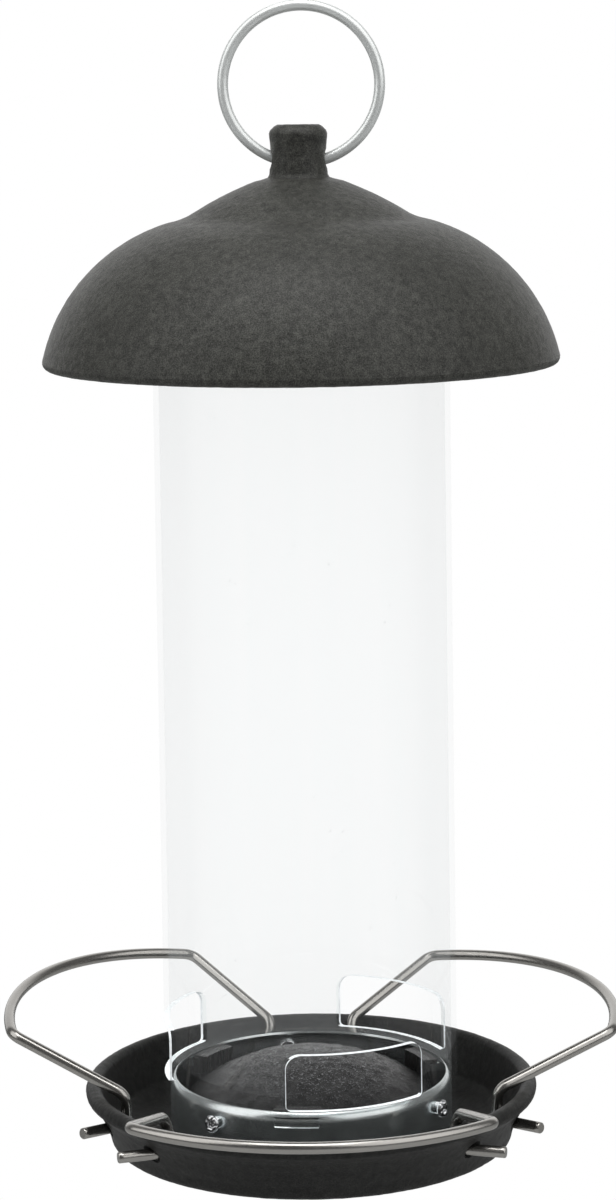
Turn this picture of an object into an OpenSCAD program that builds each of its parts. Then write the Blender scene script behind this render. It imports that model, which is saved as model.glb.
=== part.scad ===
// Hanging bird feeder: a clear seed tube between a cast roof and a cast seed tray,
// with three wire perches hinged on the tray.
// Millimetres. Origin at the centre of the tray's foot, +Z up, one perch faces -Y.
// An azimuth is measured from the front (-Y) and grows towards +X.

/* [Seed tube] */
// Outside diameter of the clear tube
tube_od = 80; // [76:0.5:84]
// Wall thickness of the clear tube
tube_wall = 1.5; // [1.2:0.1:2]
// Length of the clear tube
tube_len = 244; // [200:1:280]

/* [Seed ports] */
// Azimuth of the centre of the first port
port_azimuth = 19; // [10:1:30]
// Width of a port, as an angle round the tube
port_angle = 57; // [40:1:65]
// Height of a port's top edge above the foot
port_top = 40; // [36:1:48]
// Corner radius at the top of a port
port_corner_r = 4; // [2:0.5:5]

/* [Collars] */
// Height of the sheet-steel collar in each end of the tube
collar_h = 18.2; // [17.5:0.1:20]
// Thickness of the collar's sheet
collar_t = 0.6; // [0.5:0.1:0.8]
// Azimuth of the first lock tongue
tongue_azimuth = -6; // [-10:1:0]
// Azimuths of the three rivets
rivet_azimuths = [-41, 60.5, 190]; // [-180:0.5:270]

/* [Seed tray] */
// Outside diameter of the tray at its widest
tray_d = 123.2; // [118:0.5:128]
// Height of the tray's lip above the foot
tray_h = 22.5; // [21.5:0.1:24]
// Wall thickness of the tray
tray_wall = 3; // [2.5:0.1:3.5]
// Height of the dome that throws the seed out to the ports
dome_top = 29; // [27:0.5:31]

/* [Roof] */
// Outside diameter of the roof
roof_d = 139.4; // [130:0.5:150]
// Height of the roof's lower edge above the foot
roof_z = 218; // [216:1:220]
// Wall thickness of the roof
roof_wall = 3.5; // [3:0.1:4]

/* [Hanging ring] */
// Outside diameter of the hanging ring
ring_od = 45; // [40:0.5:50]
// Wire diameter of the hanging ring
ring_wire = 3; // [2.5:0.1:3.2]

/* [Perches] */
// Wire diameter of a perch
perch_wire = 3; // [2.4:0.1:3.2]
// Angle by which the front perch stands above its resting place on the lip
front_raise = 1.5; // [0:0.5:20]
// Angle by which the left perch stands above it
left_raise = 12; // [0:0.5:20]
// Angle by which the right perch stands above it
right_raise = 9; // [0:0.5:20]

/* [Hidden] */

$fn = 96;
gap = 0.05;            // running gap between pieces that touch
thirds = [0, 120, 240];

tube_r = tube_od / 2;
bore_r = tube_r - tube_wall;
tube_z0 = 6.1;
tube_z1 = tube_z0 + tube_len;

collar_r = bore_r - gap;
collar_in_r = collar_r - collar_t;
shoulder_w = 2;             // the collar's rolled shoulder, across and up
shoulder_h = 3.6;
port_z0 = tube_z0 + collar_h + 0.7;

// Lock: tongues pressed inwards from the collar hook onto ledges on a round boss.
boss_r = bore_r - 4.2;
ledge_r = boss_r + 1.6;
tongue_r = boss_r + 0.3;
tongue_angle = 17.6;
tongue_h = 2.4;
tongue_off = 14.1;          // from the collar's open end to the tongue
ledge_t = 1.25;
ledge_angle = 21;
stop_angle = 3;
lock_turn = 24;             // turn that frees a ledge from its tongue

rivet_d = 3;
rivet_head_d = 4.8;
rivet_off = 12.9;           // from the collar's open end to the rivet

lug_r = 8;
lug_h = 13.7;
ring_r = (ring_od - ring_wire) / 2;
ring_shift = 1;             // the ring hangs a little off the lug's middle
eye_d = 5.5;
eye_z = roof_z + 55.3;
ring_z = eye_z - 1 + ring_r;

pivot_y = 38.4;             // distance from the tube's axis to a perch's hinge line
pivot_z = 13.9;
perch_hole_d = 4.8;
perch_hole_x = 40.95;
perch_end_angle = 17.6;     // the wire's ends turn this much off the hinge line
perch_end_len = 10.3;       // how far the wire's ends stand out past the middle of the wall
bend_r = 2.6;
bar_r = 65;                 // the bar is an arc, level when the perch lies on the lip
bar_half_angle = 42.4;
bar_z = 30.5;
bar_steps = 12;

// ---- helpers ----

// Points on an oval in a profile plane, from angle a0 to a1
function oval(c, rx, ry, a0, a1, n = 12) =
  [for (i = [0:n]) let (a = a0 + (a1 - a0) * i / n) c + [rx * cos(a), ry * sin(a)]];

function arc(c, r, a0, a1, n = 12) = oval(c, r, r, a0, a1, n);

function unit(v) = v / norm(v);

// Turns a child drawn facing the front to an azimuth
module at_azimuth(a) {
  rotate([0, 0, a]) children();
}

// Sector of a ring between two radii, centred on the front
module ring_sector(r0, r1, z0, z1, angle) {
  rotate([0, 0, -90 - angle / 2])
    rotate_extrude(angle = angle)
      translate([r0, z0]) square([r1 - r0, z1 - z0]);
}

// Points round a bend of radius r in a wire that runs from a to c by way of b
function bend(a, b, c, r, n) =
  let (
    u1 = unit(b - a),
    u2 = unit(c - b),
    turn = acos(u1 * u2),
    inward = unit(u2 - (u1 * u2) * u1),
    centre = b - u1 * r * tan(turn / 2) + inward * r
  )
  [for (i = [0:n]) let (t = turn * i / n) centre + r * (sin(t) * u1 - cos(t) * inward)];

// Round wire swept along a path; its section is a polygon with the given number of sides
module wire(path, d, sides = 16) {
  last = len(path) - 1;
  dirs = [for (i = [0:last]) unit(path[min(i + 1, last)] - path[max(i - 1, 0)])];
  normals = [
    for (i = 0, n = unit(cross(dirs[0], [0, 0, 1]));
         i <= last;
         i = i + 1, n = i <= last ? unit(n - (n * dirs[i]) * dirs[i]) : n)
      n
  ];
  points = [
    for (i = [0:last], k = [0:sides - 1])
      let (a = 360 * k / sides)
        path[i] + d / 2 * (cos(a) * normals[i] + sin(a) * cross(dirs[i], normals[i]))
  ];
  walls = [
    for (i = [0:last - 1], k = [0:sides - 1])
      let (p = i * sides + k, q = i * sides + (k + 1) % sides)
        each [[p, p + sides, q], [q, p + sides, q + sides]]
  ];
  first_cap = [for (k = [0:sides - 1]) k];
  last_cap = [for (k = [sides - 1:-1:0]) last * sides + k];
  polyhedron(points, concat(walls, [first_cap, last_cap]));
}

// ---- tube, collars and rivets ----

// Cutter for one port, facing the front: a window with round top corners
module port_cutter() {
  half_w = tube_r * sin(port_angle / 2);
  r = port_corner_r;
  rotate([90, 0, 0])
    linear_extrude(height = tube_r + 4) {
      translate([-half_w, port_z0]) square([2 * half_w, port_top - r - port_z0]);
      translate([r - half_w, port_z0]) square([2 * (half_w - r), port_top - port_z0]);
      for (side = [-1, 1])
        translate([side * (half_w - r), port_top - r]) circle(r = r, $fn = 32);
    }
}

module seed_tube() {
  color("white", 0.35)
  difference() {
    translate([0, 0, tube_z0]) cylinder(r = tube_r, h = tube_len);
    translate([0, 0, tube_z0 - 1]) cylinder(r = bore_r, h = tube_len + 2);
    for (a = thirds) at_azimuth(port_azimuth + a) port_cutter();
    for (z = [tube_z0 + rivet_off, tube_z1 - rivet_off]) rivet_holes(z);
  }
}

// Three holes through the wall for the rivets at one height
module rivet_holes(z) {
  for (a = rivet_azimuths)
    at_azimuth(a)
      translate([0, 0, z])
        rotate([90, 0, 0])
          cylinder(d = rivet_d + 2 * gap, h = tube_r + 5, $fn = 32);
}

// Collar standing on its open end at z = 0, with its rolled shoulder at the top
module collar() {
  shoulder_c = [collar_r - shoulder_w, collar_h - shoulder_h];
  difference() {
    union() {
      rotate_extrude()
        polygon(concat(
          [[collar_in_r, 0], [collar_r, 0]],
          oval(shoulder_c, shoulder_w, shoulder_h, 0, 75),
          oval(shoulder_c, shoulder_w - collar_t, shoulder_h - collar_t, 75, 0)
        ));
      for (a = thirds)
        at_azimuth(tongue_azimuth + a)
          ring_sector(tongue_r, collar_in_r + collar_t / 3, tongue_off, tongue_off + tongue_h, tongue_angle);
    }
    rivet_holes(rivet_off);
    // The tongues are pressed out of the sheet, which leaves a shallow pocket outside
    for (a = thirds)
      at_azimuth(tongue_azimuth + a)
        ring_sector(collar_in_r - 1.4, collar_r + 1, tongue_off + 0.6, tongue_off + tongue_h - 0.6, tongue_angle - 2);
  }
}

module lower_collar() {
  color("lightsteelblue") translate([0, 0, tube_z0]) collar();
}

module upper_collar() {
  color("lightsteelblue") translate([0, 0, tube_z1]) mirror([0, 0, 1]) collar();
}

// Three rivets at one height: domed head outside the tube, flat upset tail inside the collar
module rivets(z) {
  head_rise = 1;
  head_r = (pow(rivet_head_d / 2, 2) + head_rise * head_rise) / (2 * head_rise);
  // The flat tail's edge just clears the collar's round wall
  tail_z = sqrt(pow(collar_in_r, 2) - pow(rivet_head_d / 2, 2)) - gap;
  tail_t = 0.7;
  for (a = rivet_azimuths)
    at_azimuth(a)
      translate([0, 0, z])
        rotate([90, 0, 0]) {
          translate([0, 0, tail_z - tail_t]) cylinder(d = rivet_head_d, h = tail_t, $fn = 32);
          translate([0, 0, tail_z - tail_t / 2])
            cylinder(d = rivet_d, h = tube_r - tail_z + tail_t / 2 + 0.2, $fn = 32);
          translate([0, 0, tube_r + gap])
            intersection() {
              cylinder(d = rivet_head_d, h = head_rise, $fn = 32);
              translate([0, 0, head_rise - head_r]) sphere(r = head_r, $fn = 64);
            }
        }
}

module lower_rivets() {
  color("silver") rivets(tube_z0 + rivet_off);
}

module upper_rivets() {
  color("silver") rivets(tube_z1 - rivet_off);
}

// ---- tray ----

// Three lock ledges on a boss, with their load face at z = 0. Each is a post let into the
// boss with a ledge that stands out from it, and a stop at one end that limits the turn.
module ledges(turn) {
  post_in = boss_r - 2.4;
  post_out = boss_r - 0.2;
  post_drop = 9;
  for (a = thirds)
    at_azimuth(tongue_azimuth + turn + a) {
      rotate([0, 0, -90 - ledge_angle / 2])
        rotate_extrude(angle = ledge_angle)
          polygon([
            [post_in, -post_drop], [post_out, -post_drop], [post_out, 0],
            [ledge_r, 0], [ledge_r, ledge_t], [post_in, ledge_t]
          ]);
      at_azimuth((tongue_angle + stop_angle) / 2 + 0.3)
        ring_sector(boss_r - 1.2, ledge_r - 0.1, -tongue_h - 1, ledge_t - 0.3, stop_angle);
    }
}

// Half section of the tray's bowl, hollow under the dome
module tray_section() {
  dome_r = 57;
  dome_c = [0, dome_top - dome_r];
  dome_edge = acos(boss_r / dome_r);
  hollow_r = boss_r - tray_wall;
  hollow_edge = acos(hollow_r / (dome_r - tray_wall));
  lip_out = tray_d / 2;
  lip_bead_r = 2.2;
  floor_z = tube_z0 - 0.1;
  polygon(concat(
    // dome, boss and floor, from the middle outwards
    arc(dome_c, dome_r, 90, dome_edge),
    [[boss_r, floor_z], [tube_r + 2, floor_z], [lip_out - 10.6, floor_z + 2.5]],
    // inside of the wall, then the round bead of the lip
    [[lip_out - 7.6, floor_z + 5], [lip_out - 5.6, 16.7]],
    arc([lip_out - lip_bead_r, tray_h - lip_bead_r], lip_bead_r, 160, -25, 10),
    // outside of the wall and the sloping underside
    [[lip_out - 2.6, 17.1], [lip_out - 4.1, 14.5], [lip_out - 6.2, 9.7]],
    [[lip_out - 7.6, 6.9], [lip_out - 9.6, 6.1], [boss_r - 0.5, 0.3]],
    // foot ring and the drafted side of the hollow
    [[boss_r - 1.5, 0], [hollow_r - 1, 0]],
    arc(dome_c, dome_r - tray_wall, hollow_edge, 90)
  ));
}

module perch_holes() {
  for (a = thirds, side = [-1, 1])
    at_azimuth(a)
      translate([side * perch_hole_x, -pivot_y, pivot_z])
        rotate([0, 0, -side * perch_end_angle])
          rotate([0, 90 * side, 0])
            translate([0, 0, -3]) cylinder(d = perch_hole_d, h = 10, $fn = 48);
}

module seed_tray() {
  color([0.2, 0.2, 0.2])
  difference() {
    union() {
      rotate_extrude() tray_section();
      translate([0, 0, tube_z0 + tongue_off + tongue_h + gap]) ledges(0);
    }
    perch_holes();
  }
}

// ---- roof ----

// Half section of the roof: a dome, a shallow bell on it and the lug on top
module roof_section() {
  dome_r = 49;
  dome_start = 12.4;
  dome_c = [roof_d / 2 - dome_r * cos(dome_start), roof_z - 8.5];
  bell_c = [-28.5, roof_z - 54];
  bell_r = 111;
  lug_z = roof_z + 50.8;
  seat_z = tube_z1 + gap;
  boss_end = tube_z1 - tongue_off - tongue_h - gap - ledge_t - 0.4;
  polygon(concat(
    [[0, lug_z + lug_h], [lug_r - 2.4, lug_z + lug_h]],
    arc([lug_r - 2.4, lug_z + lug_h - 2], 2, 80, 0, 6),
    [[lug_r - 0.8, lug_z + 6], [lug_r, lug_z + 0.6]],
    arc(bell_c, bell_r, 70, 60),
    [[30, roof_z + 40.5]],
    arc(dome_c, dome_r, 74.5, dome_start, 18),
    [[roof_d / 2 - 0.2, roof_z + 0.9], [roof_d / 2 - 1, roof_z], [roof_d / 2 - 3.2, roof_z]],
    arc(dome_c, dome_r - roof_wall, 10.8, 63, 14),
    [[tube_r + 1.6, seat_z], [boss_r, seat_z], [boss_r, boss_end], [boss_r - 3, boss_end]],
    [[boss_r - 3, roof_z + 36]],
    arc(bell_c, bell_r - roof_wall, 60.6, 70),
    [[0, lug_z - roof_wall]]
  ));
}

module roof_canopy() {
  color([0.2, 0.2, 0.2])
  difference() {
    union() {
      rotate_extrude() roof_section();
      translate([0, 0, tube_z1 - tongue_off - tongue_h - gap]) mirror([0, 0, 1]) ledges(lock_turn);
    }
    translate([-lug_r - 2, 0, eye_z]) rotate([0, 90, 0]) cylinder(d = eye_d, h = 2 * lug_r + 4, $fn = 48);
  }
}

module hanging_ring() {
  color("silver")
  translate([ring_shift, 0, ring_z])
    rotate([90, 0, 0])
      rotate_extrude()
        translate([ring_r, 0]) circle(d = ring_wire, $fn = 32);
}

// ---- perches ----

function bar_point(a) = [bar_r * sin(a), pivot_y - 13.3 + bar_r * cos(a), bar_z];
function reversed(v) = [for (i = [len(v) - 1:-1:0]) v[i]];

// Path of one side of a perch, from inside its straight end to the curved bar;
// x is across the perch and y outwards from the tube's axis
function perch_side(along, hole) =
  let (
    low = hole - along * 5,
    high = low + [2.6, 0.1, 9.2],
    bar_end = bar_point(bar_half_angle),
    corner = bar_end + 3.2 * [cos(bar_half_angle), -sin(bar_half_angle), 0]
  )
  concat(
    [hole],
    bend(hole, low, high, bend_r, 7),
    bend(low, high, corner, bend_r, 5),
    bend(high, corner, bar_end, bend_r, 5)
  );

// One perch at rest on the lip, facing the front: two round ends that turn in the tray's
// holes, two legs inside the wall, two arms over the lip and a curved bar
module perch_wire_shape() {
  along = [cos(perch_end_angle), sin(perch_end_angle), 0];
  hole = [perch_hole_x, pivot_y, pivot_z];
  right = perch_side(along, hole);
  left = [for (p = reversed(right)) [-p[0], p[1], p[2]]];
  bar = [for (i = [0:bar_steps]) bar_point(bar_half_angle * (1 - 2 * i / bar_steps))];
  // The sweep is a hair thinner than the round ends, so that it starts inside them
  mirror([0, 1, 0]) wire(concat(right, bar, left), perch_wire - 0.02);
  for (side = [0, 1])
    mirror([side, 0, 0]) mirror([0, 1, 0])
      translate(hole - along * 0.6)
        rotate([0, 0, perch_end_angle])
          rotate([0, 90, 0])
            cylinder(d = perch_wire, h = perch_end_len + 0.6, $fn = 32);
}

// A perch at its azimuth, swung up about its hinge line by some angle
module perch(azimuth, raise) {
  color("gainsboro")
  at_azimuth(azimuth)
    translate([0, -pivot_y, pivot_z])
      rotate([-raise, 0, 0])
        translate([0, pivot_y, -pivot_z])
          perch_wire_shape();
}

module front_perch() {
  perch(0, front_raise);
}

module left_perch() {
  perch(240, left_raise);
}

module right_perch() {
  perch(120, right_raise);
}

roof_canopy();
hanging_ring();
seed_tube();
upper_collar();
upper_rivets();
lower_collar();
lower_rivets();
seed_tray();
front_perch();
left_perch();
right_perch();
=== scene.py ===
import math

import bpy
import numpy as np
from mathutils import Matrix, Vector, noise


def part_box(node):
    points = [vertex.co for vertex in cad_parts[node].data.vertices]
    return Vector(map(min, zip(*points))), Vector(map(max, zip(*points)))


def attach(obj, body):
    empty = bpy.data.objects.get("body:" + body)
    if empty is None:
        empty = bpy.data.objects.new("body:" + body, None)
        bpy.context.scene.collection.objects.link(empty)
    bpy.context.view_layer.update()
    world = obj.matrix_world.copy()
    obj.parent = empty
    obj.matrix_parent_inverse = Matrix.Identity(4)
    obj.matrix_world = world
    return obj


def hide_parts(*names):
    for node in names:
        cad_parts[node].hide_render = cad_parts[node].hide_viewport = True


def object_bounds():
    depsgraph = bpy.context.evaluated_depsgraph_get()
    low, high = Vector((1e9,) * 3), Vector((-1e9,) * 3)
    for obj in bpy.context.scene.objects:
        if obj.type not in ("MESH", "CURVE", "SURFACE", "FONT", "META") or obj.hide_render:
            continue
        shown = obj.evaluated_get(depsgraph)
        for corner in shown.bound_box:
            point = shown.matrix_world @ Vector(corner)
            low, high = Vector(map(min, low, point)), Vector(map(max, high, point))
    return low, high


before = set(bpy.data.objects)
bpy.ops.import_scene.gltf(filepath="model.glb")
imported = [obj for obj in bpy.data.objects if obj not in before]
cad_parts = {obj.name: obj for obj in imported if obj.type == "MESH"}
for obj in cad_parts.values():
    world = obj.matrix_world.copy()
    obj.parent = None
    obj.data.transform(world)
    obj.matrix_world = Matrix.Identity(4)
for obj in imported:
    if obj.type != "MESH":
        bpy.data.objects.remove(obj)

cad_low, cad_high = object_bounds()

MM = 0.001
THIRDS = (0, 120, 240)

# ---- dimensions, from the frame's boxes ----

tube_low, tube_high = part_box("seed_tube")
TUBE_R = tube_high.x
TUBE_WALL = 1.5 * MM
BORE_R = TUBE_R - TUBE_WALL

collar_low, collar_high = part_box("lower_collar")
COLLAR_R = collar_high.x
COLLAR_H = collar_high.z - collar_low.z
COLLAR_T = 0.6 * MM

_, tray_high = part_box("seed_tray")
TRAY_R = tray_high.x
DOME_TOP = tray_high.z

roof_low, roof_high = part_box("roof_canopy")
ROOF_R = roof_high.x
ROOF_Z = roof_low.z
LUG_TOP = roof_high.z

ring_low, ring_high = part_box("hanging_ring")
RING_WIRE_R = (ring_high.y - ring_low.y) / 2
RING_R = (ring_high.x - ring_low.x) / 2 - RING_WIRE_R
RING_CENTRE = (ring_low + ring_high) / 2

PORT_AZIMUTH = 19
PORT_ANGLE = 57
PORT_TOP = 40 * MM
PORT_BOTTOM = 25 * MM
PORT_CORNER_R = 4 * MM
EDGE_GLOW_W = 0.55 * MM      # how wide the outer line of an upright cut glows

TONGUE_AZIMUTH = -6
TONGUE_ANGLE = 17.6
TONGUE_OFF = 14.1 * MM       # from a collar's open end to its tongues
TONGUE_H = 2.4 * MM
TONGUE_R = 34.6 * MM
BOSS_R = 34.3 * MM
LEDGE_R = 35.9 * MM
LEDGE_T = 1.25 * MM
LEDGE_ANGLE = 21
LOCK_TURN = 24
STOP_ANGLE = 3
OUTER_PRESS = 0.3 * MM       # how deep a tongue's mark is in the collar's outside
RUNNING_GAP = 0.05 * MM      # between pieces that touch

RIVET_AZIMUTHS = (-41, 60.5, 190)
RIVET_OFF = 12.9 * MM
RIVET_HEAD_R = 2.4 * MM
RIVET_SHANK_R = 1.5 * MM

EYE_Z = ROOF_Z + 55.3 * MM   # the lug's cross hole
EYE_R = 2.75 * MM

PIVOT_Y = 38.4 * MM
PIVOT_Z = 13.9 * MM
PERCH_WIRE_R = 1.5 * MM
PERCH_HOLE = Vector((40.95, 38.4, 13.9)) * MM
PERCH_HOLE_R = 2.4 * MM
PERCH_END_ANGLE = math.radians(17.6)
PERCH_END_LEN = 10.3 * MM
PERCH_RAISES = {"front_perch": 1.5, "left_perch": 12, "right_perch": 9}
PERCH_AZIMUTHS = {"front_perch": 0, "left_perch": 240, "right_perch": 120}
PERCH_BODIES = {"front_perch": "perch_front", "left_perch": "perch_left", "right_perch": "perch_right"}


# ---- outlines ----

def arc(cx, cz, r, a0, a1, n=16):
    """Points on an arc in a profile plane, angles in degrees."""
    turns = (math.radians(a0 + (a1 - a0) * i / n) for i in range(n + 1))
    return [(cx + r * math.cos(a), cz + r * math.sin(a)) for a in turns]


def resample(points, step):
    """The same outline with no stretch longer than step."""
    out = [points[0]]
    for (x0, z0), (x1, z1) in zip(points, points[1:]):
        n = max(1, math.ceil(math.hypot(x1 - x0, z1 - z0) / step))
        out += [(x0 + (x1 - x0) * i / n, z0 + (z1 - z0) * i / n) for i in range(1, n + 1)]
    return out


# ---- meshes ----

def mesh_object(name, verts, faces, smooth=True):
    mesh = bpy.data.meshes.new(name)
    mesh.from_pydata(verts, [], faces)
    mesh.validate()
    mesh.update()
    if smooth:
        mesh.shade_smooth()
    obj = bpy.data.objects.new(name, mesh)
    bpy.context.scene.collection.objects.link(obj)
    return obj


def lathe(name, outline, angles, closed=False, radial=None):
    """Turns an outline of (radius, z) about the z axis at the given angles (radians, full turn).
    An open outline starts and ends on the axis; a closed one is a loop. radial(r, z, a) may change r."""
    n, m = len(angles), len(outline)
    verts, faces, rows = [], [], []
    for r, z in outline:
        if r < 1e-9:
            rows.append([len(verts)] * n)
            verts.append((0, 0, z))
            continue
        rows.append(list(range(len(verts), len(verts) + n)))
        for a in angles:
            rr = radial(r, z, a) if radial else r
            verts.append((rr * math.cos(a), rr * math.sin(a), z))
    pairs = zip(rows, rows[1:] + rows[:1]) if closed else zip(rows, rows[1:])
    for low, high in pairs:
        for i in range(n):
            j = (i + 1) % n
            ids = []
            for v in (low[i], low[j], high[j], high[i]):
                if v not in ids:
                    ids.append(v)
            if len(ids) > 2:
                faces.append(ids)
    obj = mesh_object(name, verts, faces)
    orient_outwards(obj)
    return obj


def orient_outwards(obj):
    """Flips the faces if the closed mesh's volume comes out negative."""
    mesh = obj.data
    mesh.calc_loop_triangles()
    co = np.array([v.co for v in mesh.vertices])
    tri = np.array([t.vertices for t in mesh.loop_triangles])
    a, b, c = co[tri[:, 0]], co[tri[:, 1]], co[tri[:, 2]]
    if np.einsum("ij,ij->i", a, np.cross(b, c)).sum() < 0:
        mesh.flip_normals()


def full_turn(n):
    return [2 * math.pi * i / n for i in range(n)]


def displace(obj, offset):
    """Moves each vertex along its normal by offset(position, normal)."""
    mesh = obj.data
    normals = [v.normal.copy() for v in mesh.vertices]
    for v, nrm in zip(mesh.vertices, normals):
        v.co += nrm * offset(v.co, nrm)
    mesh.update()


def combine(obj, other, operation):
    """Joins or cuts obj with another closed mesh, and removes the other."""
    mod = obj.modifiers.new("combine", "BOOLEAN")
    mod.operation = operation
    mod.solver = "MANIFOLD"
    mod.object = other
    dg = bpy.context.evaluated_depsgraph_get()
    mesh = bpy.data.meshes.new_from_object(obj.evaluated_get(dg))
    if len(mesh.vertices) == len(obj.data.vertices):
        raise RuntimeError(f"{operation} of {obj.name} with {other.name} changed nothing")
    obj.modifiers.clear()
    obj.data = mesh
    bpy.data.objects.remove(other)
    return obj


def sharpen(obj, degrees=40):
    obj.data.shade_smooth()
    obj.data.set_sharp_from_angle(angle=math.radians(degrees))


def block_sector(name, outline, azimuth, angle, n=24):
    """Closed sector of a lathe body: an outline of (r, z) swept over an angle centred on an azimuth."""
    start = math.radians(azimuth - 90 - angle / 2)
    verts, faces, m = [], [], len(outline)
    for i in range(n + 1):
        a = start + math.radians(angle) * i / n
        verts += [(r * math.cos(a), r * math.sin(a), z) for r, z in outline]
    for i in range(n):
        for k in range(m):
            p, q = i * m + k, i * m + (k + 1) % m
            faces.append((p, q, q + m, p + m))
    faces.append(tuple(reversed(range(m))))
    faces.append(tuple(n * m + k for k in range(m)))
    obj = mesh_object(name, verts, faces, smooth=False)
    orient_outwards(obj)
    return obj


def rod(name, start, end, r, n=48):
    """Plain round cutter between two points."""
    axis = (end - start).normalized()
    side = axis.orthogonal().normalized()
    top = axis.cross(side)
    verts, faces = [], []
    for p in (start, end):
        verts += [p + r * (math.cos(a) * side + math.sin(a) * top) for a in full_turn(n)]
    faces += [(i, (i + 1) % n, n + (i + 1) % n, n + i) for i in range(n)]
    faces += [tuple(reversed(range(n))), tuple(range(n, 2 * n))]
    obj = mesh_object(name, verts, faces, smooth=False)
    orient_outwards(obj)
    return obj


def sweep(name, path, r, sides=24, closed=False, radii=None):
    """Round wire along a path, with a UV map that runs along it (u) and round it (v)."""
    n = len(path)
    dirs = []
    for i in range(n):
        a = path[i - 1] if (i > 0 or closed) else path[0]
        b = path[(i + 1) % n] if (i < n - 1 or closed) else path[-1]
        dirs.append((b - a).normalized())
    normal = dirs[0].cross(Vector((0, 0, 1)))
    if normal.length < 0.1:
        normal = dirs[0].cross(Vector((0, 1, 0)))
    verts, lengths, run = [], [], 0.0
    for i in range(n):
        normal = (normal - normal.dot(dirs[i]) * dirs[i]).normalized()
        side = dirs[i].cross(normal)
        rr = radii[i] if radii else r
        for k in range(sides):
            a = 2 * math.pi * k / sides
            verts.append(path[i] + rr * (math.cos(a) * normal + math.sin(a) * side))
        run += (path[i] - path[i - 1]).length if i else 0.0
        lengths.append(run)
    faces, uvs = [], []
    count = n if closed else n - 1
    for i in range(count):
        j = (i + 1) % n
        u0 = lengths[i]
        u1 = lengths[j] if j else run + (path[0] - path[-1]).length
        for k in range(sides):
            q = (k + 1) % sides
            faces.append((i * sides + k, i * sides + q, j * sides + q, j * sides + k))
            v0, v1 = k / sides, (k + 1) / sides
            uvs += [(u0, v0), (u0, v1), (u1, v1), (u1, v0)]
    if not closed:
        faces.append(tuple(reversed(range(sides))))
        faces.append(tuple((n - 1) * sides + k for k in range(sides)))
        uvs += [(0, 0)] * (2 * sides)
    mesh = bpy.data.meshes.new(name)
    mesh.from_pydata([tuple(v) for v in verts], [], faces)
    layer = mesh.uv_layers.new(name="along")
    layer.data.foreach_set("uv", [c for uv in uvs for c in uv])
    mesh.update()
    mesh.shade_smooth()
    obj = bpy.data.objects.new(name, mesh)
    bpy.context.scene.collection.objects.link(obj)
    orient_outwards(obj)
    mesh.set_sharp_from_angle(angle=math.radians(50))
    return obj


# ---- materials ----

def new_material(name):
    mat = bpy.data.materials.new(name)
    mat.use_nodes = True
    nodes, links = mat.node_tree.nodes, mat.node_tree.links
    return mat, nodes, links, nodes["Principled BSDF"]


def add(nodes, kind, **values):
    """New node with the given properties; keys that name an input set its default value."""
    node = nodes.new(kind)
    for key, value in values.items():
        if key in node.inputs:
            node.inputs[key].default_value = value
        else:
            setattr(node, key, value)
    return node


def noise_node(nodes, links, coord, scale, detail=2.0, roughness=0.5):
    node = add(nodes, "ShaderNodeTexNoise", Scale=scale, Detail=detail, Roughness=roughness)
    links.new(coord, node.inputs["Vector"])
    return node.outputs["Fac"]


def ramp(nodes, links, value, stops):
    """Colour ramp with stops of (position, grey or rgb)."""
    node = nodes.new("ShaderNodeValToRGB")
    node.color_ramp.elements[0].position = stops[0][0]
    node.color_ramp.elements[1].position = stops[-1][0]
    for position, _ in stops[1:-1]:
        node.color_ramp.elements.new(position)
    for element, (_, colour) in zip(node.color_ramp.elements, stops):
        rgb = (colour,) * 3 if isinstance(colour, (int, float)) else colour
        element.color = (*rgb, 1)
    links.new(value, node.inputs["Fac"])
    return node.outputs["Color"]


def math_node(nodes, links, operation, a, b):
    node = nodes.new("ShaderNodeMath")
    node.operation = operation
    for slot, value in zip(node.inputs, (a, b)):
        if isinstance(value, (int, float)):
            slot.default_value = value
        else:
            links.new(value, slot)
    return node.outputs[0]


def mix_colour(nodes, links, factor, a, b, blend="MIX"):
    node = nodes.new("ShaderNodeMix")
    node.data_type = "RGBA"
    node.blend_type = blend
    for slot, value in zip((node.inputs[0], node.inputs[6], node.inputs[7]), (factor, a, b)):
        if isinstance(value, (int, float)):
            slot.default_value = value
        elif isinstance(value, tuple):
            slot.default_value = (*value, 1)
        else:
            links.new(value, slot)
    return node.outputs[2]


def bump(nodes, links, height, strength, distance, normal=None):
    node = add(nodes, "ShaderNodeBump", Strength=strength, Distance=distance)
    links.new(height, node.inputs["Height"])
    if normal is not None:
        links.new(normal, node.inputs["Normal"])
    return node.outputs["Normal"]


def upward_part(nodes, links):
    """The z part of the face's own direction: 1 on a level face seen from above."""
    parts = nodes.new("ShaderNodeSeparateXYZ")
    links.new(nodes.new("ShaderNodeNewGeometry").outputs["True Normal"], parts.inputs[0])
    return parts.outputs["Z"]


def reflection_only(nodes, links):
    """1 for a mirrored or glossy-reflected ray, 0 for a camera, refracted or diffuse one."""
    path = nodes.new("ShaderNodeLightPath")
    glossy = math_node(nodes, links, "SUBTRACT", path.outputs["Is Glossy Ray"],
                       path.outputs["Is Transmission Ray"])
    return math_node(nodes, links, "MAXIMUM", glossy, 0.0)


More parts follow.
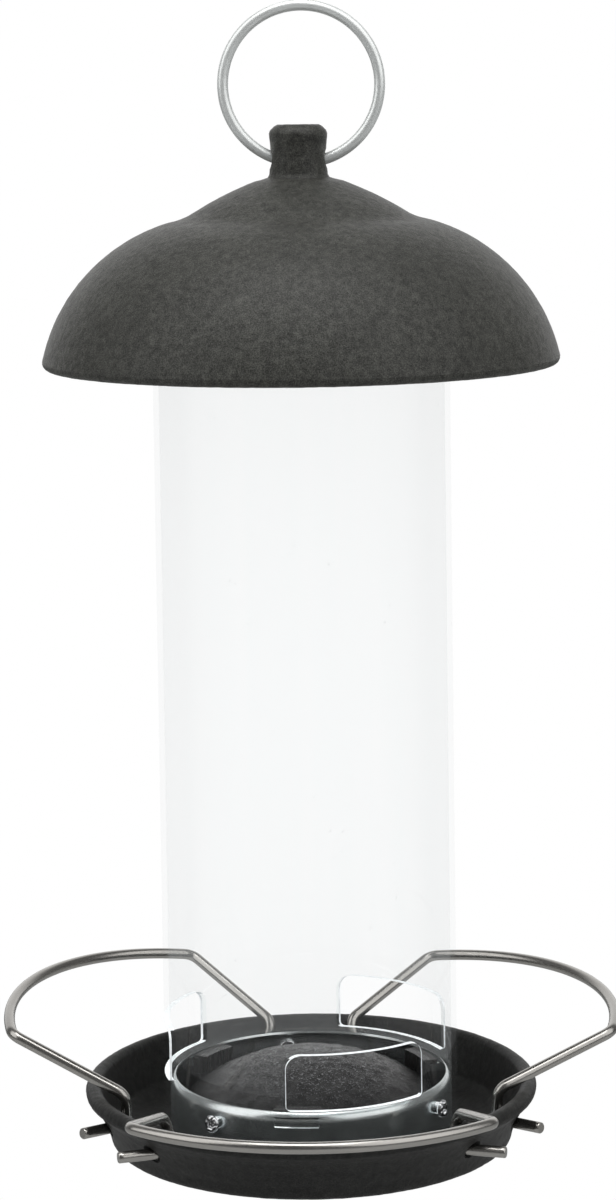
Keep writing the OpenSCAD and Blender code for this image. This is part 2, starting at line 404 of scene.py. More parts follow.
def cast_coat(name, dark, light, rough, specular, wrinkle=0.0):
    """Textured powder coat on a casting: a sandy grain with pale high spots, and slow changes of
    tone. A wrinkle height adds the heavy wrinkled coat on top of the tray's dome, whose crests
    are metallic and carry a painted highlight in their colour, stronger towards the top."""
    mat, nodes, links, shader = new_material(name)
    coord = nodes.new("ShaderNodeTexCoord").outputs["Object"]
    grain = noise_node(nodes, links, coord, 3000, 3, 0.8)
    lumps = noise_node(nodes, links, coord, 520, 3, 0.55)
    cloud = noise_node(nodes, links, coord, 26, 4, 0.55)
    both = math_node(nodes, links, "ADD", math_node(nodes, links, "MULTIPLY", grain, 0.75),
                     math_node(nodes, links, "MULTIPLY", lumps, 0.25))
    between = tuple(d * 0.6 + l * 0.4 for d, l in zip(dark, light))
    speckle = ramp(nodes, links, both, [(0.38, dark), (0.51, between), (0.62, light)])
    tone = ramp(nodes, links, cloud, [(0.32, 0.82), (0.68, 1.12)])
    coat = mix_colour(nodes, links, 1.0, speckle, tone, "MULTIPLY")
    links.new(coat, shader.inputs["Base Color"])
    links.new(ramp(nodes, links, both, [(0.4, rough[0]), (0.62, rough[1])]), shader.inputs["Roughness"])
    shader.inputs["Specular IOR Level"].default_value = specular
    normal = bump(nodes, links, lumps, 0.4, 0.0005)
    if wrinkle:
        folds = noise_node(nodes, links, coord, 1500, 4, 0.65)
        folds.node.inputs["Distortion"].default_value = 0.5
        upward = math_node(nodes, links, "GREATER_THAN", upward_part(nodes, links), 0.0)
        middle = math_node(nodes, links, "MULTIPLY", centre_mask(nodes, links, coord, BOSS_R), upward)
        crests = ramp(nodes, links, folds, [(0.55, 0.0), (0.74, 1.0)])
        bright = math_node(nodes, links, "MULTIPLY", crests, middle)
        links.new(math_node(nodes, links, "MULTIPLY", bright, 0.8), shader.inputs["Metallic"])
        height = nodes.new("ShaderNodeSeparateXYZ")
        links.new(coord, height.inputs[0])
        # Painted highlight: the crests' colour gets lighter the higher they sit on the dome.
        highlight_height = math_node(nodes, links, "MULTIPLY", height.outputs["Z"], 1 / DOME_TOP)
        painted_crest_highlight = ramp(nodes, links, highlight_height, [(0.76, (0.05, 0.05, 0.05)), (1.0, (0.62, 0.63, 0.65))])
        crest = mix_colour(nodes, links, bright, (0.003, 0.003, 0.003), painted_crest_highlight)
        links.new(mix_colour(nodes, links, middle, coat, crest), shader.inputs["Base Color"])
        links.new(ramp(nodes, links, middle, [(0, specular), (1, 0.5)]), shader.inputs["Specular IOR Level"])
        links.new(ramp(nodes, links, middle, [(0, rough[0]), (1, 0.22)]), shader.inputs["Roughness"])
        inside = math_node(nodes, links, "MULTIPLY", folds, middle)
        normal = bump(nodes, links, inside, 1.0, wrinkle, normal)
    links.new(bump(nodes, links, grain, 0.5, 0.0002, normal), shader.inputs["Normal"])
    return mat


def centre_mask(nodes, links, coord, radius):
    """1 within a radius of the object's axis, 0 outside it."""
    flat = nodes.new("ShaderNodeVectorMath")
    flat.operation = "MULTIPLY"
    flat.inputs[1].default_value = (1, 1, 0)
    links.new(coord, flat.inputs[0])
    length = nodes.new("ShaderNodeVectorMath")
    length.operation = "LENGTH"
    links.new(flat.outputs[0], length.inputs[0])
    return math_node(nodes, links, "LESS_THAN", length.outputs["Value"], radius)


def wire_metal(name, colour, rough, streaks, depth, metallic):
    """Metal wire: tone streaks drawn out along it, fine spots in its polish."""
    mat, nodes, links, shader = new_material(name)
    uv = nodes.new("ShaderNodeUVMap")
    uv.uv_map = "along"
    stretch = nodes.new("ShaderNodeMapping")
    stretch.inputs["Scale"].default_value = (streaks, 9, 1)
    links.new(uv.outputs["UV"], stretch.inputs["Vector"])
    streak = noise_node(nodes, links, stretch.outputs["Vector"], 1.0, 4, 0.6)
    coord = nodes.new("ShaderNodeTexCoord").outputs["Object"]
    spots = noise_node(nodes, links, coord, 700, 4, 0.65)
    pale = tuple(min(1.0, c * 1.05) for c in colour)
    deep = tuple(c * (1 - depth) for c in colour)
    links.new(ramp(nodes, links, streak, [(0.32, deep), (0.62, pale)]), shader.inputs["Base Color"])
    shader.inputs["Metallic"].default_value = metallic
    links.new(ramp(nodes, links, spots, [(0.3, rough * 0.9), (0.7, rough * 1.1)]), shader.inputs["Roughness"])
    links.new(bump(nodes, links, streak, 0.04, 0.0001), shader.inputs["Normal"])
    return mat


def rivet_steel(name):
    """Bright upset metal with hammer marks, darker in the hollows of the marks."""
    mat, nodes, links, shader = new_material(name)
    coord = nodes.new("ShaderNodeTexCoord").outputs["Object"]
    dents = noise_node(nodes, links, coord, 900, 3, 0.6)
    # The colour runs darker where the dents are low.
    links.new(ramp(nodes, links, dents, [(0.35, (0.34, 0.35, 0.36)), (0.6, (0.80, 0.81, 0.82))]),
              shader.inputs["Base Color"])
    shader.inputs["Metallic"].default_value = 1.0
    shader.inputs["Roughness"].default_value = 0.26
    links.new(bump(nodes, links, dents, 0.5, 0.0003), shader.inputs["Normal"])
    return mat


def galvanised_sheet(name):
    """Bright zinc-coated sheet with soft cloudy spangle and fine rolling lines."""
    mat, nodes, links, shader = new_material(name)
    coord = nodes.new("ShaderNodeTexCoord").outputs["Object"]
    stretch = nodes.new("ShaderNodeMapping")
    stretch.inputs["Scale"].default_value = (60, 60, 1400)
    links.new(coord, stretch.inputs["Vector"])
    lines = noise_node(nodes, links, stretch.outputs["Vector"], 1.0, 3, 0.6)
    cloud = noise_node(nodes, links, coord, 110, 4, 0.6)
    specks = noise_node(nodes, links, coord, 1500, 2, 0.5)
    tone = ramp(nodes, links, cloud, [(0.3, (0.70, 0.74, 0.74)), (0.7, (0.84, 0.87, 0.87))])
    marks = ramp(nodes, links, specks, [(0.66, 1.0), (0.74, 0.7)])
    links.new(mix_colour(nodes, links, 1.0, tone, marks, "MULTIPLY"), shader.inputs["Base Color"])
    shader.inputs["Metallic"].default_value = 1.0
    links.new(ramp(nodes, links, lines, [(0.3, 0.20), (0.7, 0.27)]), shader.inputs["Roughness"])
    links.new(bump(nodes, links, cloud, 0.03, 0.0003), shader.inputs["Normal"])
    return mat


def clear_plastic(name):
    """Clear extruded plastic as a thin sheet: a faint reflection, drawn lines, a few matt scuffs,
    and a faint white veil on the inside of the wall behind: painted light that brightens what shows through."""
    mat, nodes, links, shader = new_material(name)
    coord = nodes.new("ShaderNodeTexCoord").outputs["Object"]
    stretch = nodes.new("ShaderNodeMapping")
    stretch.inputs["Scale"].default_value = (300, 300, 5)
    links.new(coord, stretch.inputs["Vector"])
    lines = noise_node(nodes, links, stretch.outputs["Vector"], 1.0, 2, 0.5)
    scuffs = noise_node(nodes, links, coord, 420, 4, 0.75)
    clear = nodes.new("ShaderNodeBsdfTransparent")
    tint = ramp(nodes, links, lines, [(0.3, (0.994, 0.997, 0.997)), (0.7, (0.999, 1.0, 1.0))])
    links.new(tint, clear.inputs["Color"])
    gloss = add(nodes, "ShaderNodeBsdfGlossy", Roughness=0.03, Color=(0.97, 0.99, 1.0, 1))
    fresnel = add(nodes, "ShaderNodeFresnel", IOR=1.42)
    inside = nodes.new("ShaderNodeNewGeometry").outputs["Backfacing"]
    soft = math_node(nodes, links, "MINIMUM", fresnel.outputs["Fac"], 0.06)
    share = math_node(nodes, links, "MULTIPLY", soft, math_node(nodes, links, "SUBTRACT", 1.0, inside))
    sheet = mix_shader(nodes, links, share, clear.outputs["BSDF"], gloss.outputs["BSDF"])
    shader.inputs["Base Color"].default_value = (0.9, 0.92, 0.93, 1)
    shader.inputs["Roughness"].default_value = 0.5
    bore = centre_mask(nodes, links, coord, (BORE_R + TUBE_R) / 2)
    back_wall = math_node(nodes, links, "MAXIMUM", math_node(nodes, links, "SUBTRACT", bore, inside), 0.0)
    # Painted light: a faint white veil on the back wall's inside that brightens what is seen through the
    # tube.
    painted_veil = math_node(nodes, links, "MULTIPLY", back_wall, 0.08)
    worn = ramp(nodes, links, scuffs, [(0.68, 0.006), (0.78, 0.3)])
    scuffs_and_painted_veil = math_node(nodes, links, "ADD", painted_veil, worn)
    final = mix_shader(nodes, links, scuffs_and_painted_veil, sheet, shader.outputs["BSDF"])
    links.new(final, nodes["Material Output"].inputs["Surface"])
    return mat


def mix_shader(nodes, links, factor, first, second):
    mix = nodes.new("ShaderNodeMixShader")
    links.new(factor, mix.inputs["Fac"])
    links.new(first, mix.inputs[1])
    links.new(second, mix.inputs[2])
    return mix.outputs["Shader"]


def sawn_edge(name):
    """Cut edge of the plastic: frosted, and glowing with the light led to it through the sheet.
    An upright cut glows at its outer line only and is nearly clear behind it; a level cut, which
    is seen through the wall, glows across its whole width."""
    mat, nodes, links, shader = new_material(name)
    coord = nodes.new("ShaderNodeTexCoord").outputs["Object"]
    chips = noise_node(nodes, links, coord, 900, 3, 0.7)
    links.new(ramp(nodes, links, chips, [(0.3, 0.75), (0.7, 0.95)]), shader.inputs["Base Color"])
    shader.inputs["Roughness"].default_value = 0.35
    shader.inputs["Emission Color"].default_value = (0.9, 0.97, 1.0, 1)
    links.new(ramp(nodes, links, chips, [(0.3, 0.25), (0.7, 0.6)]), shader.inputs["Emission Strength"])
    links.new(bump(nodes, links, chips, 0.5, 0.0003), shader.inputs["Normal"])
    clear = nodes.new("ShaderNodeBsdfTransparent")
    clear.inputs["Color"].default_value = (0.86, 0.88, 0.88, 1)
    level = math_node(nodes, links, "ABSOLUTE", upward_part(nodes, links), 0.0)
    upright = math_node(nodes, links, "LESS_THAN", level, 0.7)
    inner = centre_mask(nodes, links, coord, TUBE_R - EDGE_GLOW_W)
    behind = math_node(nodes, links, "MULTIPLY", inner, upright)
    final = mix_shader(nodes, links, behind, shader.outputs["BSDF"], clear.outputs["BSDF"])
    links.new(final, nodes["Material Output"].inputs["Surface"])
    return mat


def finish_piece(obj, body, slot, material, *replaced):
    if material is not None:
        obj.data.materials.clear()
        obj.data.materials.append(material)
    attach(obj, body)
    if replaced:
        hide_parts(*replaced)
    return obj


# ---- cast parts ----

def cast_grain(lump_size, lumps):
    """Displacement of a textured casting: soft lumps of a size and height, and a finer grain."""
    def offset(co, _normal):
        soft = noise.noise(co * (0.75 / lump_size)) * lumps
        return soft + noise.noise(co * 950 + Vector((7, 3, 1))) * 0.05 * MM
    return offset


def ledge_blocks(z, flip, turn):
    """The three lock ledges and stops; flip mirrors them for the roof."""
    s = -1 if flip else 1
    ledge = [
        (BOSS_R - 2.4 * MM, z - s * 9 * MM), (BOSS_R - 0.2 * MM, z - s * 9 * MM), (BOSS_R - 0.2 * MM, z),
        (LEDGE_R, z), (LEDGE_R, z + s * LEDGE_T), (BOSS_R - 2.4 * MM, z + s * LEDGE_T),
    ]
    low, high = z - s * (TONGUE_H + 1 * MM), z + s * (LEDGE_T - 0.3 * MM)
    stop_in, stop_out = BOSS_R - 1.2 * MM, LEDGE_R - 0.1 * MM
    stop = [(stop_in, low), (stop_out, low), (stop_out, high), (stop_in, high)]
    blocks = []
    for a in THIRDS:
        centre = TONGUE_AZIMUTH + turn + a
        blocks.append(block_sector("ledge", ledge, centre, LEDGE_ANGLE))
        stop_centre = centre + (TONGUE_ANGLE + STOP_ANGLE) / 2 + 0.3
        blocks.append(block_sector("stop", stop, stop_centre, STOP_ANGLE, 6))
    return blocks


def roof_outline():
    r = ROOF_R / MM
    z = ROOF_Z / MM
    top = LUG_TOP / MM
    dome_r, wall, dome_start = 49, 3.5, 12.4
    dome_x = r - dome_r * math.cos(math.radians(dome_start)) - 0.16
    seat, boss = tube_high.z / MM + 0.05, BOSS_R / MM
    boss_end = tube_high.z / MM - (TONGUE_OFF + TONGUE_H + LEDGE_T) / MM - 0.45
    lug = [(0, top), (5.6, top), (6.5, top - 0.5), (7.5, top - 1.5), (7.8, top - 2.3)]
    lug += [(7.75, top - 3.4), (7.5, top - 6), (7.5, top - 8.5), (7.7, top - 11.5), (7.85, z + 51.2)]
    points = lug + [(8.3, z + 50.35), (9.4, z + 50.0)]
    points += arc(-28.5, z - 54, 111, 68.6, 61, 12)
    points += arc(38.6, z + 57.9, 19.6, 243, 257, 6)
    points += arc(dome_x, z - 8.5, dome_r, 73.5, dome_start, 40)
    points += arc(r - 1.95, z + 1.75, 1.75, 8, -90, 8)
    points += [(r - 3.2, z)] + arc(dome_x, z - 8.5, dome_r - wall, 10.8, 63, 24)
    points += [(TUBE_R / MM + 1.6, seat), (boss, seat), (boss, boss_end)]
    points += [(boss - 3, boss_end), (boss - 3, z + 36)]
    points += arc(-28.5, z - 54, 111 - wall, 60.6, 70, 8) + [(0, z + 50.8 - wall)]
    return [(x * MM, y * MM) for x, y in points]


def build_roof(material):
    outline = resample(roof_outline(), 0.8 * MM)
    obj = lathe("roof_casting", outline, full_turn(480))
    displace(obj, cast_grain(2.4 * MM, 0.05 * MM))
    z = tube_high.z - TONGUE_OFF - TONGUE_H - RUNNING_GAP
    for block in ledge_blocks(z, True, LOCK_TURN):
        combine(obj, block, "UNION")
    ends = [Vector((side * 11 * MM, 0, EYE_Z)) for side in (-1, 1)]
    combine(obj, rod("eye", *ends, EYE_R), "DIFFERENCE")
    sharpen(obj)
    return finish_piece(obj, "roof", "cast_roof", material, "roof_canopy")


def tray_outline():
    lip, dome_top = TRAY_R / MM, DOME_TOP / MM
    boss, wall, dome_r = BOSS_R / MM, 3, 57
    tray_h, bead = 22.5, 2.2
    dome_z = dome_top - dome_r
    edge = math.degrees(math.acos(boss / dome_r))
    hollow = boss - wall
    hollow_edge = math.degrees(math.acos(hollow / (dome_r - wall)))
    points = arc(0, dome_z, dome_r, 90, edge + 1.2, 30)
    points += [(boss, 16.4), (boss, 6.4), (boss + 0.4, 6.0), (TUBE_R / MM + 2, 6.0), (lip - 10.6, 8.5)]
    points += [(lip - 7.6, 11), (lip - 5.6, 16.7)]
    points += arc(lip - bead, tray_h - bead, bead, 165, -25, 16)
    points += [(lip - 2.6, 17.1), (lip - 4.1, 14.5), (lip - 6.2, 9.7)]
    points += arc(lip - 8.6, 8.0, 1.9, -15, -75, 6)
    points += [(boss - 0.5, 0.3), (boss - 1.5, 0), (hollow - 1, 0)]
    points += arc(0, dome_z, dome_r - wall, hollow_edge, 90, 24)
    points[0] = (0, dome_top)
    points[-1] = (0, dome_top - wall)
    return [(x * MM, y * MM) for x, y in points]


def perch_place(name):
    """Matrix that puts a perch drawn at rest, facing the front, at its azimuth and raise."""
    hinge = Matrix.Translation((0, -PIVOT_Y, PIVOT_Z))
    raised = hinge @ Matrix.Rotation(math.radians(-PERCH_RAISES[name]), 4, "X") @ hinge.inverted()
    return Matrix.Rotation(math.radians(PERCH_AZIMUTHS[name]), 4, "Z") @ raised


def build_tray(material):
    outline = resample(tray_outline(), 0.8 * MM)
    obj = lathe("tray_casting", outline, full_turn(480))
    displace(obj, cast_grain(1.9 * MM, 0.05 * MM))
    folds = cast_grain(2.1 * MM, 0.34 * MM)
    displace(obj, lambda co, n: folds(co, n) if math.hypot(co.x, co.y) < BOSS_R - MM and n.z > 0.3 else 0.0)
    z = tube_low.z + TONGUE_OFF + TONGUE_H + RUNNING_GAP
    for block in ledge_blocks(z, False, 0):
        combine(obj, block, "UNION")
    along = Vector((math.cos(PERCH_END_ANGLE), math.sin(PERCH_END_ANGLE), 0))
    for a in THIRDS:
        turn = Matrix.Rotation(math.radians(a), 4, "Z")
        for side in (-1, 1):
            flip = Matrix.Diagonal((side, -1, 1, 1))
            ends = [turn @ flip @ (PERCH_HOLE + along * t) for t in (-4 * MM, 6 * MM)]
            combine(obj, rod("hole", *ends, PERCH_HOLE_R), "DIFFERENCE")
    sharpen(obj)
    return finish_piece(obj, "tray", "cast_tray", material, "seed_tray")


# ---- tube, collars, rivets ----

def port_cutter(azimuth):
    half_w = TUBE_R * math.sin(math.radians(PORT_ANGLE / 2))
    r, n = PORT_CORNER_R, 12
    low_r = 1.2 * MM
    shape = arc(half_w - low_r, PORT_BOTTOM + low_r, low_r, -90, 0, 6)
    shape += arc(half_w - r, PORT_TOP - r, r, 0, 90, n)
    shape += arc(r - half_w, PORT_TOP - r, r, 90, 180, n)
    shape += arc(low_r - half_w, PORT_BOTTOM + low_r, low_r, 180, 270, 6)
    near, far = -BORE_R + 12 * MM, -TUBE_R - 4 * MM
    m = len(shape)
    verts = [(x, y, z) for y in (near, far) for x, z in shape]
    faces = [(k, (k + 1) % m, m + (k + 1) % m, m + k) for k in range(m)]
    faces += [tuple(reversed(range(m))), tuple(range(m, 2 * m))]
    obj = mesh_object("port", verts, faces, smooth=False)
    obj.data.transform(Matrix.Rotation(math.radians(azimuth), 4, "Z"))
    orient_outwards(obj)
    return obj


def build_tube(clear, edge):
    r0, r1, z0, z1 = BORE_R, TUBE_R, tube_low.z, tube_high.z
    outline = [(r1, z0), (r1, z1), (r0, z1), (r0, z0)]
    obj = lathe("clear_tube", outline, full_turn(360), closed=True)
    for a in THIRDS:
        combine(obj, port_cutter(PORT_AZIMUTH + a), "DIFFERENCE")
    for z in (z0 + RIVET_OFF, z1 - RIVET_OFF):
        for a in RIVET_AZIMUTHS:
            out = Matrix.Rotation(math.radians(a), 4, "Z") @ Vector((0, -1, 0))
            start, end = out * (r0 - 3 * MM), out * (r1 + 3 * MM)
            start.z = end.z = z
            combine(obj, rod("rivet_hole", start, end, RIVET_SHANK_R + RUNNING_GAP, 32), "DIFFERENCE")
    sharpen(obj, 30)
    obj.data.materials.clear()
    obj.data.materials.append(clear)
    obj.data.materials.append(edge)
    for face in obj.data.polygons:
        corner = obj.data.vertices[face.vertices[0]].co
        outwards = Vector((corner.x, corner.y, 0)).normalized()
        if abs(face.normal.dot(outwards)) < 0.7:     # a cut edge, not the wall
            face.material_index = 1
    return finish_piece(obj, "tube", "clear_tube", None, "seed_tube")


def collar_outline():
    r, t, h = COLLAR_R, COLLAR_T, COLLAR_H
    wide, tall = 2.0 * MM, 3.6 * MM      # the rolled shoulder, across and up
    turns = [math.radians(75 * i / 18) for i in range(19)]
    outer = [(r, z) for z in wall_rows(h - tall)]
    outer += [(r - wide + wide * math.cos(a), h - tall + tall * math.sin(a)) for a in turns]
    inner = [(r - wide + (wide - t) * math.cos(a), h - tall + (tall - t) * math.sin(a))
             for a in reversed(turns)]
    return outer + inner + [(r - t, z) for z in reversed(wall_rows(h - tall))]


def wall_rows(top):
    """Heights of the collar's rows below its shoulder, with close pairs at the tongue's lower edge."""
    edge = 0.12 * MM
    rows = [i * MM for i in range(0, 14)] + [TONGUE_OFF - edge, TONGUE_OFF + edge]
    return [z for z in rows if z < top - edge]


def collar_angles():
    angles = set(round(a, 6) for a in full_turn(300))
    for a in THIRDS:
        for end in (-0.5, 0.5):
            edge = math.radians((TONGUE_AZIMUTH + a - 90 + end * TONGUE_ANGLE) % 360)
            angles |= {round(edge + d, 6) for d in (-0.006, -0.002, 0.002, 0.006)}
    return sorted(angles)


def in_tongue(z, angle):
    """1 where the sheet is pressed in, by height above the collar's open end and angle; else 0."""
    if not TONGUE_OFF <= z <= TONGUE_OFF + TONGUE_H:
        return 0.0
    for a in THIRDS:
        off = (math.degrees(angle) - (TONGUE_AZIMUTH + a - 90) + 180) % 360 - 180
        if abs(off) < TONGUE_ANGLE / 2:
            return 1.0
    return 0.0


def build_collar(name, body, node, material, flip):
    def radial(r, z, a):
        inner = r < COLLAR_R - COLLAR_T / 2
        reach = (COLLAR_R - COLLAR_T - TONGUE_R) if inner else OUTER_PRESS
        return r - in_tongue(z, a) * reach
    obj = lathe(name, collar_outline(), collar_angles(), closed=True, radial=radial)
    if flip:
        obj.data.transform(Matrix.Translation((0, 0, tube_high.z)) @ Matrix.Diagonal((1, 1, -1, 1)))
        obj.data.flip_normals()
    else:
        obj.data.transform(Matrix.Translation((0, 0, tube_low.z)))
    sharpen(obj, 35)
    return finish_piece(obj, body, "galvanised_collar", material, node)


def build_rivets(name, node, z, material):
    """Three tubular rivets in one piece: split and rolled over outside, flat heads inside."""
    face, tail = TUBE_R + RUNNING_GAP, COLLAR_R - COLLAR_T - 0.15 * MM
    head = [(0, 0.25), (0.75, 0.22), (1.0, 0.4), (1.15, 0.85), (1.4, 1.05), (1.75, 0.98)]
    head += [(2.1, 0.7), (2.3, 0.35), (2.35, 0.05)]
    outline = [(r * MM, face + h * MM) for r, h in head]
    outline += [(RIVET_SHANK_R, face), (RIVET_SHANK_R, tail), (RIVET_HEAD_R, tail)]
    outline += [(RIVET_HEAD_R, tail - 0.5 * MM), (2.15 * MM, tail - 0.7 * MM), (0, tail - 0.7 * MM)]
    verts, faces = [], []
    for k, azimuth in enumerate(RIVET_AZIMUTHS):
        part = lathe("rivet", resample(outline, 0.2 * MM), full_turn(60))
        seed = Vector((k * 3.1, 1.7, 0.4))

        def peen(co, _normal):
            rise = max(0.0, min(1.0, (co.z - face) / (0.9 * MM)))
            splits = abs(math.sin(2.5 * math.atan2(co.y, co.x) + k)) ** 0.35 - 0.8
            dents = noise.noise(co * 700 + seed)
            return (splits * 0.55 + dents * 0.3) * MM * rise

        displace(part, peen)
        turn = Matrix.Rotation(math.radians(azimuth), 4, "Z")
        place = Matrix.Translation((0, 0, z)) @ turn @ Matrix.Rotation(math.radians(90), 4, "X")
        base = len(verts)
        verts += [tuple(place @ v.co) for v in part.data.vertices]
        faces += [tuple(base + i for i in p.vertices) for p in part.data.polygons]
        bpy.data.objects.remove(part)
    obj = mesh_object(name, verts, faces)
    orient_outwards(obj)
    sharpen(obj, 50)
    return finish_piece(obj, "tube", "rivets", material, node)


# ---- wire parts ----

def bend(a, b, c, r, n=10):
    """Points round a bend of radius r in a wire that runs from a to c by way of b."""
    u1, u2 = (b - a).normalized(), (c - b).normalized()
    turn = math.acos(u1.dot(u2))
    inward = (u2 - u1.dot(u2) * u1).normalized()
    centre = b - u1 * r * math.tan(turn / 2) + inward * r
    steps = (turn * i / n for i in range(n + 1))
    return [centre + r * (math.sin(t) * u1 - math.cos(t) * inward) for t in steps]


def split(path, step):
    """The same path with its long runs cut into short ones."""
    out = [path[0]]
    for a, b in zip(path, path[1:]):
        n = max(1, math.ceil((b - a).length / step))
        out += [a.lerp(b, i / n) for i in range(1, n + 1)]
    return out


def perch_path():
    along = Vector((math.cos(PERCH_END_ANGLE), math.sin(PERCH_END_ANGLE), 0))
    bar_r, half = 65 * MM, math.radians(42.4)
    low_r, high_r, bar_bend_r = 2.6 * MM, 3.8 * MM, 4.4 * MM
    bar_y, bar_z = PIVOT_Y - 13.3 * MM, 30.5 * MM

    def bar_point(a):
        return Vector((bar_r * math.sin(a), bar_y + bar_r * math.cos(a), bar_z))

    tip = PERCH_HOLE + along * PERCH_END_LEN
    low = PERCH_HOLE - along * 5 * MM
    high = low + Vector((2.6, 0.1, 9.2)) * MM
    bar_end = bar_point(half)
    corner = bar_end + Vector((math.cos(half), -math.sin(half), 0)) * 3.2 * MM
    right = [tip, tip - along * 0.25 * MM] + bend(tip, low, high, low_r)
    right += bend(low, high, corner, high_r) + bend(high, corner, bar_end, bar_bend_r)
    bar = [bar_point(half * (1 - i / 30)) for i in range(61)]
    left = [Vector((-p.x, p.y, p.z)) for p in reversed(right)]
    front = [Vector((p.x, -p.y, p.z)) for p in right + bar + left]
    return split(front, 1.2 * MM)


def build_perch(name, material):
    path = perch_path()
    radii = [PERCH_WIRE_R] * len(path)
    radii[0] = radii[-1] = PERCH_WIRE_R - 0.2 * MM
    obj = sweep(name + "_wire", path, PERCH_WIRE_R, radii=radii)
    obj.data.transform(perch_place(name))
    return finish_piece(obj, PERCH_BODIES[name], "perch_wire", material, name)


def build_ring(material):
    path = [RING_CENTRE + RING_R * Vector((math.cos(a), 0, math.sin(a))) for a in full_turn(220)]
    obj = sweep("ring_wire", path, RING_WIRE_R, sides=32, closed=True)
    return finish_piece(obj, "ring", "zinc_ring", material, "hanging_ring")


# ---- build ----

roof_coat = cast_coat("roof_coat", (0.009, 0.009, 0.0078), (0.095, 0.095, 0.084), (0.46, 0.36), 0.3)
tray_coat = cast_coat(
    "tray_coat", (0.0025, 0.0025, 0.0023), (0.032, 0.032, 0.030), (0.45, 0.30), 0.26, wrinkle=0.6 * MM)
zinc = wire_metal("zinc_plate", (0.88, 0.90, 0.89), 0.34, 90, 0.08, 0.6)
stainless = wire_metal("satin_stainless", (0.46, 0.445, 0.42), 0.24, 60, 0.06, 1.0)
rivet_metal = rivet_steel("rivet_metal")
sheet = galvanised_sheet("galvanised_sheet")
clear = clear_plastic("clear_plastic")
edge = sawn_edge("sawn_edge")

build_roof(roof_coat)
build_tray(tray_coat)
build_ring(zinc)
build_tube(clear, edge)
build_collar("lower_collar_sheet", "tube", "lower_collar", sheet, False)
build_collar("upper_collar_sheet", "tube", "upper_collar", sheet, True)
build_rivets("lower_rivet_set", "lower_rivets", tube_low.z + RIVET_OFF, rivet_metal)
build_rivets("upper_rivet_set", "upper_rivets", tube_high.z - RIVET_OFF, rivet_metal)
for perch in PERCH_RAISES:
    build_perch(perch, stainless)


# ---- studio ----

def area_light(name, azimuth, elevation, distance, size, radiance, target):
    """Rectangular soft box aimed at the target; its power grows with radiance times its area."""
    a, e = math.radians(azimuth), math.radians(elevation)
    back = Vector((math.sin(a) * math.cos(e), -math.cos(a) * math.cos(e), math.sin(e)))
    data = bpy.data.lights.new(name, "AREA")
    data.shape = "RECTANGLE"
    data.size, data.size_y = size
    data.energy = radiance * math.pi * size[0] * size[1]
    obj = bpy.data.objects.new(name, data)
    obj.location = target + back * distance
    obj.rotation_euler = back.to_track_quat("Z", "Y").to_euler()
    bpy.context.scene.collection.objects.link(obj)
    return obj


def studio_world():
    """White where the camera looks and a softer light for the object. Reflections see a white
    backdrop behind the object and a dim room in front of it."""
    world = bpy.data.worlds.new("studio")
    bpy.context.scene.world = world
    world.use_nodes = True
    nodes, links = world.node_tree.nodes, world.node_tree.links
    background = nodes["Background"]
    split_xyz = nodes.new("ShaderNodeSeparateXYZ")
    links.new(nodes.new("ShaderNodeTexCoord").outputs["Generated"], split_xyz.inputs[0])
    half_y = math_node(nodes, links, "MULTIPLY", split_xyz.outputs["Y"], 0.5)
    depth = math_node(nodes, links, "ADD", half_y, 0.5)
    room = ramp(nodes, links, depth, [(0.0, 0.08), (0.6, 0.10), (0.8, 0.17), (0.9, 0.8), (1.0, 1.0)])
    path = nodes.new("ShaderNodeLightPath")
    seen = mix_colour(nodes, links, path.outputs["Is Diffuse Ray"], (1.0, 1.0, 1.0), (0.26, 0.27, 0.27))
    links.new(mix_colour(nodes, links, reflection_only(nodes, links), seen, room), background.inputs["Color"])
    background.inputs["Strength"].default_value = 1.0


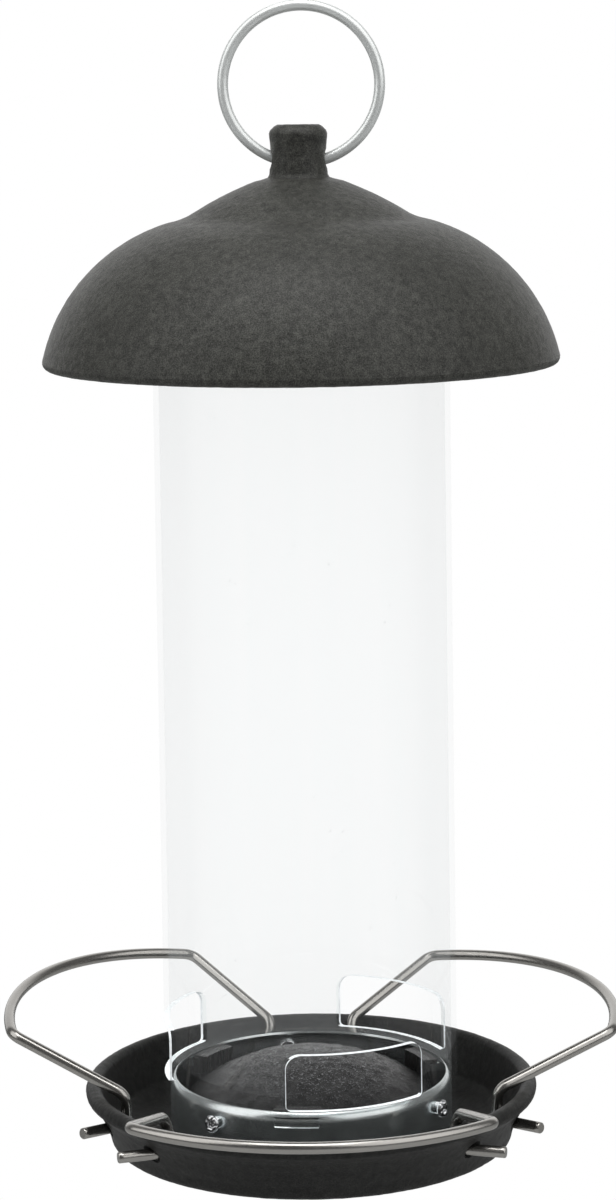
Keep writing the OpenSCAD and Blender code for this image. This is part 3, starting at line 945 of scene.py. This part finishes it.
def studio_floor():
    """Pale floor well below the hanging object; it is lit white, and open to a camera below it."""
    z, s = cad_low.z - 0.30, 6.0
    corners = [(-s, -s, z), (s, -s, z), (s, s, z), (-s, s, z)]
    obj = mesh_object("studio_floor", corners, [(0, 1, 2, 3)])
    mat, nodes, links, shader = new_material("floor_paper")
    shader.inputs["Base Color"].default_value = (0.5, 0.5, 0.5, 1)
    shader.inputs["Roughness"].default_value = 0.9
    coord = nodes.new("ShaderNodeTexCoord").outputs["Object"]
    fibre = noise_node(nodes, links, coord, 300, 2)
    links.new(bump(nodes, links, fibre, 0.05, 0.001), shader.inputs["Normal"])
    path = nodes.new("ShaderNodeLightPath")
    mirrored = reflection_only(nodes, links)
    bounced = math_node(nodes, links, "MAXIMUM", mirrored, path.outputs["Is Diffuse Ray"])
    white = add(nodes, "ShaderNodeEmission", Strength=1.0)
    lit = mix_shader(nodes, links, bounced, white.outputs["Emission"], shader.outputs["BSDF"])
    below = nodes.new("ShaderNodeNewGeometry").outputs["Backfacing"]
    opening = nodes.new("ShaderNodeBsdfTransparent").outputs["BSDF"]
    links.new(mix_shader(nodes, links, below, lit, opening), nodes["Material Output"].inputs["Surface"])
    obj.data.materials.append(mat)


def photo_camera():
    """Level with the lug on the roof and 0.87 m away, looking slightly down; the view is shifted
    down on the sensor, and the feeder leans a little to the left."""
    data = bpy.data.cameras.new("camera")
    data.sensor_width = 36
    data.lens = 97.74
    data.shift_x, data.shift_y = 0.0058, -0.2075
    data.clip_start, data.clip_end = 0.01, 50
    obj = bpy.data.objects.new("camera", data)
    obj.location = (0, -0.874, ROOF_Z + 0.0746)
    pitch, roll = math.radians(-4.64), math.radians(-0.79)
    aim = Matrix.Rotation(math.pi / 2 + pitch, 4, "X") @ Matrix.Rotation(roll, 4, "Z")
    obj.rotation_euler = aim.to_euler()
    bpy.context.scene.collection.objects.link(obj)
    bpy.context.scene.camera = obj


middle = (cad_low + cad_high) / 2
studio_world()
studio_floor()
LIGHT_DISTANCE = 1.2
area_light("soft_box_left", -68, 38, LIGHT_DISTANCE, (1.0, 1.65), 1.15, middle)
area_light("soft_box_right", 52, 38, LIGHT_DISTANCE, (1.45, 1.65), 1.05, middle)
area_light("soft_box_top", -8, 80, LIGHT_DISTANCE, (0.7, 0.8), 3.4, middle)
photo_camera()
bpy.context.scene.view_settings.view_transform = "Standard"
